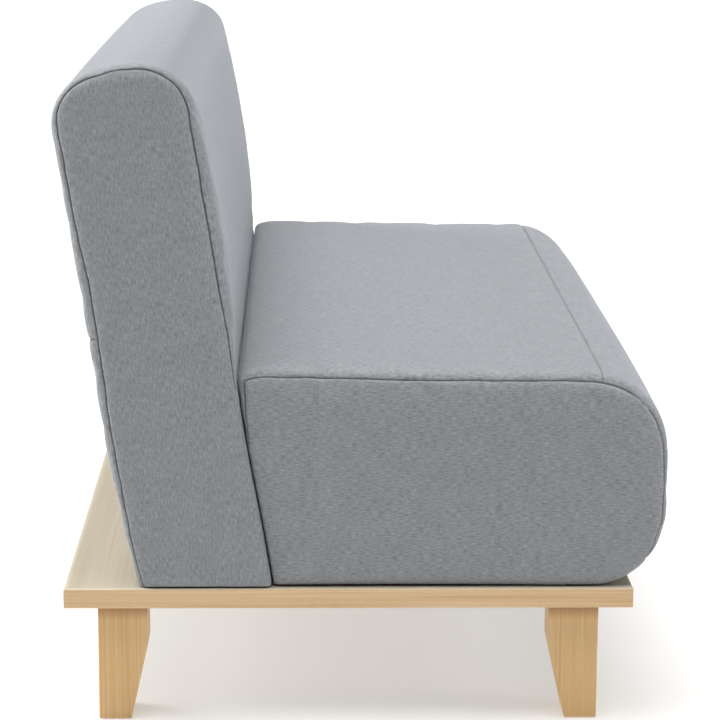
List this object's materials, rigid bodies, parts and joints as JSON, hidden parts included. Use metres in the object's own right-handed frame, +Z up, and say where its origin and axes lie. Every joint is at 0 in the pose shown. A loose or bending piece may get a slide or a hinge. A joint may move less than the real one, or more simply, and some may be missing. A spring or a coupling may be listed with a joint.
{
  "type": "armless sofa",
  "caption": "Compact armless sofa: thick seat and leaning back cushion in heathered grey cloth, bolted to a flat pale-wood deck on short tapered legs.",
  "frame": {"origin": "on the floor, at the middle of the footprint", "axes": "+X along the sofa's length, the sofa faces -Y, +Z up; left is the end at -X"},
  "size_m": [1.204, 0.7473, 0.8143],
  "materials": {
    "deck_veneer": "clear satin lacquer over pale ash veneer",
    "solid_ash": "clear satin lacquer over solid pale ash",
    "dowel_beech": "plain turned beech",
    "felt": "pressed felt",
    "zinc_steel": "zinc-plated steel",
    "insert_steel": "yellow zinc-plated steel",
    "webbing": "elastic webbing",
    "foam": "cut polyurethane foam",
    "wadding": "soft polyester wadding",
    "hardboard": "smooth hardboard",
    "frame_pine": "planed pine",
    "lining_cloth": "plain black-grey non-woven lining",
    "sofa_cloth": "heathered light-grey woven cloth"
  },
  "bodies": {
    "root": {"back_board": "hardboard", "back_bolts": "zinc_steel", "back_cover_band": "sofa_cloth", "back_cover_left_end": "sofa_cloth", "back_cover_rear": "sofa_cloth", "back_cover_right_end": "sofa_cloth", "back_cover_underside": "lining_cloth", "back_foam_front": "foam", "back_foam_left": "foam", "back_foam_rear": "foam", "back_foam_right": "foam", "back_foam_top": "foam", "back_frame_screws": "zinc_steel", "back_inserts": "insert_steel", "back_rail_bottom": "frame_pine", "back_rail_top": "frame_pine", "back_stile_left": "frame_pine", "back_stile_middle": "frame_pine", "back_stile_right": "frame_pine", "back_wadding": "wadding", "back_webbing": "webbing", "deck_core": "deck_veneer", "deck_lipping_front": "solid_ash", "deck_lipping_left": "solid_ash", "deck_lipping_rear": "solid_ash", "deck_lipping_right": "solid_ash", "foot_pads": "felt", "leg_bolts": "zinc_steel", "leg_dowels": "dowel_beech", "leg_front_left": "solid_ash", "leg_front_right": "solid_ash", "leg_inserts": "insert_steel", "leg_rear_left": "solid_ash", "leg_rear_right": "solid_ash", "seat_bolts": "zinc_steel", "seat_corner_blocks": "frame_pine", "seat_cover_front": "sofa_cloth", "seat_cover_left_end": "sofa_cloth", "seat_cover_right_end": "sofa_cloth", "seat_cover_top": "sofa_cloth", "seat_cover_underside": "lining_cloth", "seat_foam_front": "foam", "seat_foam_left": "foam", "seat_foam_rear": "foam", "seat_foam_right": "foam", "seat_foam_top": "foam", "seat_frame_screws": "zinc_steel", "seat_inserts": "insert_steel", "seat_rail_front": "frame_pine", "seat_rail_left": "frame_pine", "seat_rail_middle": "frame_pine", "seat_rail_rear": "frame_pine", "seat_rail_right": "frame_pine", "seat_wadding": "wadding", "seat_webbing": "webbing"}
  },
  "joints": []
}
